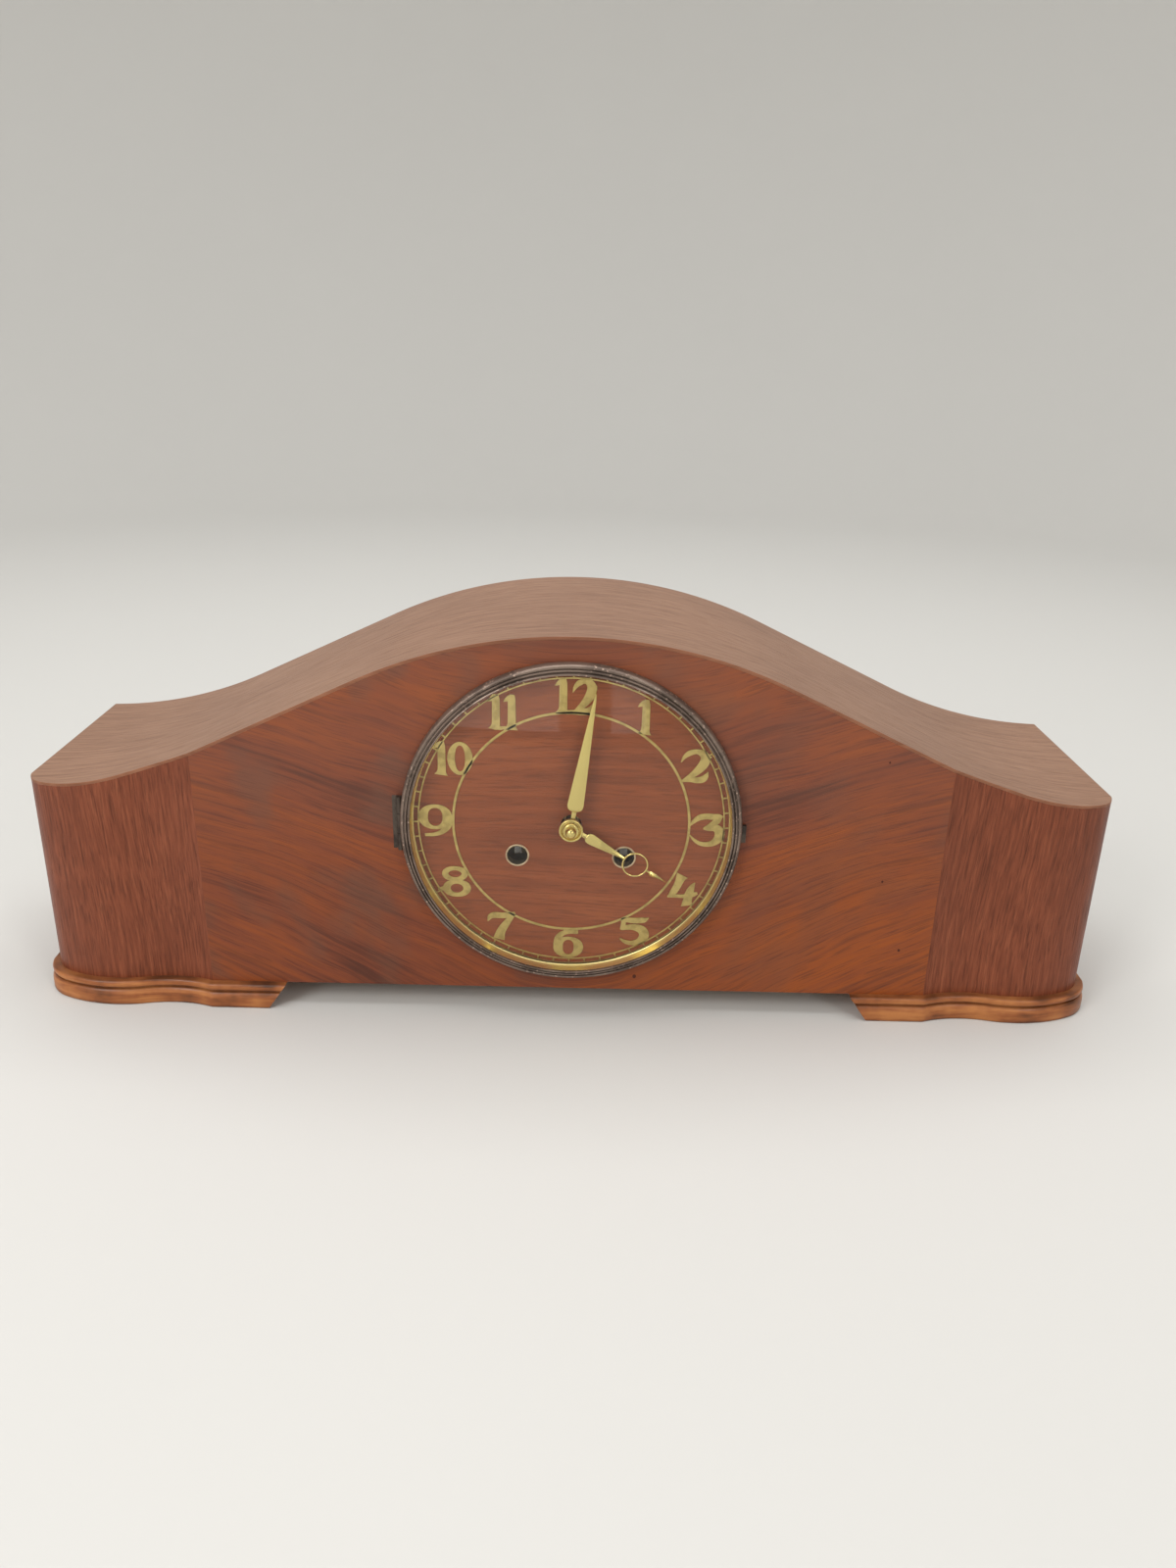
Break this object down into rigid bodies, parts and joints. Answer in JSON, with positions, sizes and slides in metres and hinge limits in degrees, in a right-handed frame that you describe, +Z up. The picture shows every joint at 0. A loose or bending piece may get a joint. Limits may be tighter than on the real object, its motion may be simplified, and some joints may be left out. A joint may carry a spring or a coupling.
{
  "type": "mantel clock",
  "caption": "Low, wide wooden mantel clock with a domed case, hinged glazed bezel, brass hands, pendulum movement and a hinged back door.",
  "frame": {"origin": "centre of the clock's footprint, on the ground under the feet, seen from above", "axes": "+X to the viewer's right along the width, +Y from the dial to the back, +Z up; the dial faces -Y"},
  "size_m": [0.5296, 0.1432, 0.1923],
  "materials": {
    "front_wood": "satin lacquer",
    "top_wood": "satin lacquer",
    "plain_wood": "bare",
    "foot_wood": "satin lacquer",
    "dial_brass": "matt",
    "bright_brass": "polished",
    "aged_bronze": "dark patina",
    "clear_glass": "clear",
    "fitting_brass": "satin",
    "movement_brass": "satin",
    "steel": "satin",
    "gong_bronze": "satin"
  },
  "bodies": {
    "case": {"front_panel": "front_wood", "end_blocks": "front_wood", "bent_top": "top_wood", "base_board": "plain_wood", "feet": "foot_wood", "back_frame": "plain_wood", "door_hinge_leaves": "fitting_brass", "dial_board": "front_wood", "chapter_ring": "dial_brass", "winding_grommets": "dial_brass", "bezel_hinge_leaf": "aged_bronze", "front_plate": "movement_brass", "back_plate": "movement_brass", "plate_pillars": "movement_brass", "pillar_nuts": "movement_brass", "movement_straps": "steel", "ratchet_clicks": "steel", "pendulum_cock": "movement_brass", "gong_rods": "gong_bronze", "gong_block": "plain_wood"},
    "bezel": {"bezel_ring": "aged_bronze", "glass_dome": "clear_glass", "sight_ring": "bright_brass", "bezel_hinge_knuckle": "aged_bronze", "bezel_catch": "aged_bronze"},
    "rear_door": {"back_door": "plain_wood", "door_hinge_knuckles": "fitting_brass"},
    "button": {"turn_button": "fitting_brass"},
    "minute_train": {"minute_hand": "bright_brass", "hand_washer": "bright_brass", "hand_nut": "bright_brass", "cannon_pinion": "steel"},
    "hour_train": {"hour_hand": "bright_brass", "hour_wheel": "movement_brass"},
    "motion_wheel": {"minute_wheel": "movement_brass"},
    "time_drum": {"time_barrel": "movement_brass"},
    "time_winder": {"time_winding_arbor": "steel"},
    "strike_drum": {"strike_barrel": "movement_brass"},
    "strike_winder": {"strike_winding_arbor": "steel"},
    "centre": {"centre_wheel": "movement_brass"},
    "third": {"third_wheel": "movement_brass"},
    "escape": {"escape_wheel": "movement_brass"},
    "pendulum": {"anchor": "steel", "suspension_spring": "steel", "pendulum_rod": "movement_brass", "pendulum_bob": "movement_brass"},
    "hammers": {"hammer_arms": "steel", "hammer_heads": "movement_brass"}
  },
  "joints": [
    {"name": "bezel_hinge", "type": "hinge", "parent": "case", "child": "bezel", "pos_m": [-0.0803, -0.0587, 0.1012], "axis": [0, 0, -1], "range_deg": [0, 110]},
    {"name": "door_hinge", "type": "hinge", "parent": "case", "child": "rear_door", "pos_m": [-0.1033, 0.0702, 0.078], "axis": [0, 0, 1], "range_deg": [0, 110]},
    {"name": "turn_button_pivot", "type": "hinge", "parent": "case", "child": "button", "pos_m": [0.1106, 0.069, 0.078], "axis": [0, 1, 0], "range_deg": [0, 90]},
    {"name": "minute_hand_spin", "type": "hinge", "parent": "case", "child": "minute_train", "pos_m": [0, -0.063, 0.1012], "axis": [0, 1, 0], "continuous": true},
    {"name": "hour_hand_spin", "type": "hinge", "parent": "case", "child": "hour_train", "pos_m": [0, -0.06, 0.1012], "axis": [0, 1, 0], "continuous": true},
    {"name": "motion_wheel_spin", "type": "hinge", "parent": "case", "child": "motion_wheel", "pos_m": [0.006, -0.044, 0.09081], "axis": [0, 1, 0], "continuous": true},
    {"name": "time_barrel_spin", "type": "hinge", "parent": "case", "child": "time_drum", "pos_m": [0.0254, -0.012, 0.0848], "axis": [0, 1, 0], "continuous": true},
    {"name": "centre_spin", "type": "hinge", "parent": "case", "child": "centre", "pos_m": [0, -0.012, 0.1012], "axis": [0, 1, 0], "continuous": true},
    {"name": "third_spin", "type": "hinge", "parent": "case", "child": "third", "pos_m": [0.01454, -0.012, 0.12212], "axis": [0, 1, 0], "continuous": true},
    {"name": "escape_spin", "type": "hinge", "parent": "case", "child": "escape", "pos_m": [-0.00003, -0.012, 0.1331], "axis": [0, 1, 0], "continuous": true},
    {"name": "strike_barrel_spin", "type": "hinge", "parent": "case", "child": "strike_drum", "pos_m": [-0.0254, -0.012, 0.0848], "axis": [0, 1, 0], "continuous": true},
    {"name": "time_winding_spin", "type": "hinge", "parent": "case", "child": "time_winder", "pos_m": [0.0254, -0.012, 0.0848], "axis": [0, 1, 0], "continuous": true},
    {"name": "strike_winding_spin", "type": "hinge", "parent": "case", "child": "strike_winder", "pos_m": [-0.0254, -0.012, 0.0848], "axis": [0, 1, 0], "continuous": true},
    {"name": "pendulum_swing", "type": "hinge", "parent": "case", "child": "pendulum", "pos_m": [-0.00003, -0.005, 0.14661], "axis": [0, 1, 0], "range_deg": [-2.5, 2.5]},
    {"name": "hammer_lift", "type": "hinge", "parent": "case", "child": "hammers", "pos_m": [-0.051, 0.005, 0.0652], "axis": [0, 1, 0], "range_deg": [-3, 20]}
  ],
  "couplings": [
    {"joint": "hour_hand_spin", "follows": "minute_hand_spin", "ratio": 0.083333},
    {"joint": "motion_wheel_spin", "follows": "minute_hand_spin", "ratio": -0.33333},
    {"joint": "time_barrel_spin", "follows": "centre_spin", "ratio": -0.2},
    {"joint": "third_spin", "follows": "centre_spin", "ratio": -6},
    {"joint": "escape_spin", "follows": "centre_spin", "ratio": 30}
  ]
}
